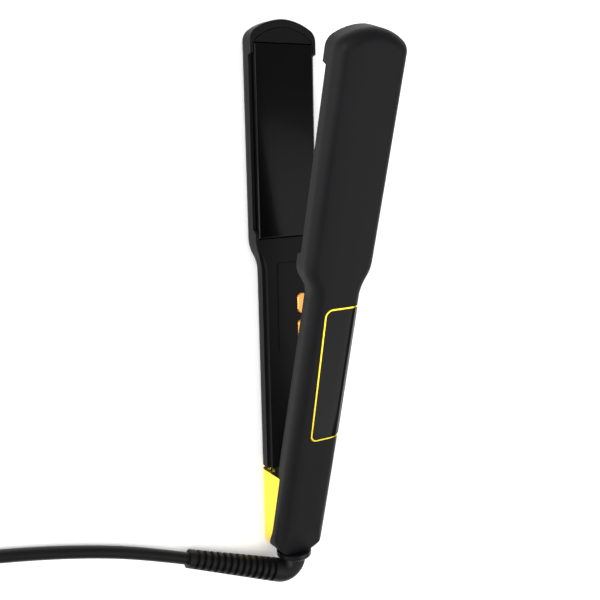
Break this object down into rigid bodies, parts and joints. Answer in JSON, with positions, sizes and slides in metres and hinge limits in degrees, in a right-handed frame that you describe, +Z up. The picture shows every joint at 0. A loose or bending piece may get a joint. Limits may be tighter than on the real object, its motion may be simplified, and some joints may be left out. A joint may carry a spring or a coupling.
{
  "type": "flat iron",
  "caption": "Hair straightening iron with wide floating plates in two sprung hinged arms, display, buttons, and a swivelling mains cord with plug.",
  "frame": {"origin": "on the table under the middle of the iron without its cord, the iron lying on the back of its lower arm", "axes": "+Z up, +Y along the lower arm towards the tips, X across the arms along the hinge pin"},
  "size_m": [0.309, 0.3372, 0.106],
  "materials": {
    "black_shell": "soft-touch satin",
    "black_inner": "fine moulded texture",
    "gold_trim": "mirror, gold plated",
    "gold_button": "gloss, metallised",
    "plate_coat": "polished ceramic coating",
    "display_lens": "mirror gloss, smoked",
    "heater_ceramic": "fired",
    "carrier_resin": "glass-filled, moulded",
    "silicone": "moulded",
    "lead_silicone": "extruded",
    "steel": "zinc plated",
    "bronze": "sintered",
    "board": "solder mask",
    "components": "moulded",
    "sensor_glass": "clear",
    "swivel_resin": "semi gloss",
    "cord_rubber": "satin",
    "nickel": "nickel plated"
  },
  "bodies": {
    "lower_arm": {"lower_outer_shell": "black_shell", "lower_inner_shell": "black_inner", "button_panel": "black_inner", "button_board": "board", "button_switches": "components", "hinge_fork": "steel", "hinge_bushes": "bronze", "lower_cushion_pads": "silicone", "lower_tray_screws": "steel", "lower_heater_leads": "lead_silicone"},
    "lower_plate": {"lower_plate": "plate_coat", "lower_heater": "heater_ceramic", "lower_plate_carrier": "carrier_resin", "thermal_fuse": "sensor_glass"},
    "power_button": {"power_button": "gold_button"},
    "mode_button": {"mode_button": "gold_button"},
    "upper_arm": {"upper_outer_shell": "black_shell", "upper_inner_shell": "black_inner", "display_bezel": "gold_trim", "display_glass": "display_lens", "display_module": "components", "control_board": "board", "board_components": "components", "board_screws": "steel", "hinge_cover": "gold_trim", "hinge_base": "black_inner", "base_screws": "steel", "hinge_pin": "steel", "pin_clips": "steel", "opening_spring": "steel", "supply_leads": "lead_silicone", "upper_cushion_pads": "silicone", "upper_tray_screws": "steel", "upper_heater_leads": "lead_silicone"},
    "upper_plate": {"upper_plate": "plate_coat", "upper_heater": "heater_ceramic", "upper_plate_carrier": "carrier_resin", "temperature_sensor": "sensor_glass"},
    "cord_swivel": {"swivel_collar": "swivel_resin", "swivel_retainer": "swivel_resin", "strain_relief": "cord_rubber", "cord_tube": "cord_rubber", "cord_coil": "cord_rubber", "plug_body": "cord_rubber", "plug_pins": "nickel"}
  },
  "joints": [
    {"name": "arm_hinge", "type": "hinge", "parent": "lower_arm", "child": "upper_arm", "pos_m": [0, -0.1244, 0.0144], "axis": [-1, 0, 0], "range_deg": [0, 15.8], "stiffness_Nm_per_rad": 2, "springref_deg": -28.65, "deforming": ["opening_spring"]},
    {"name": "lower_plate_float", "type": "slide", "parent": "lower_arm", "child": "lower_plate", "axis": [0, 0, -1], "range_m": [0, 0.0008], "stiffness_N_per_m": 2000, "springref_m": -0.001, "deforming": ["lower_cushion_pads"]},
    {"name": "upper_plate_float", "type": "slide", "parent": "upper_arm", "child": "upper_plate", "axis": [0, -0.2723, 0.9622], "range_m": [0, 0.0008], "stiffness_N_per_m": 2000, "springref_m": -0.001, "deforming": ["upper_cushion_pads"]},
    {"name": "power_button_press", "type": "slide", "parent": "lower_arm", "child": "power_button", "axis": [0, 0, -1], "range_m": [0, 0.0005], "stiffness_N_per_m": 1500, "springref_m": -0.0004},
    {"name": "mode_button_press", "type": "slide", "parent": "lower_arm", "child": "mode_button", "axis": [0, 0, -1], "range_m": [0, 0.0005], "stiffness_N_per_m": 1500, "springref_m": -0.0004},
    {"name": "cord_swivel_turn", "type": "hinge", "parent": "upper_arm", "child": "cord_swivel", "pos_m": [0, -0.161, 0.0136], "axis": [0, 1, 0], "continuous": true}
  ]
}
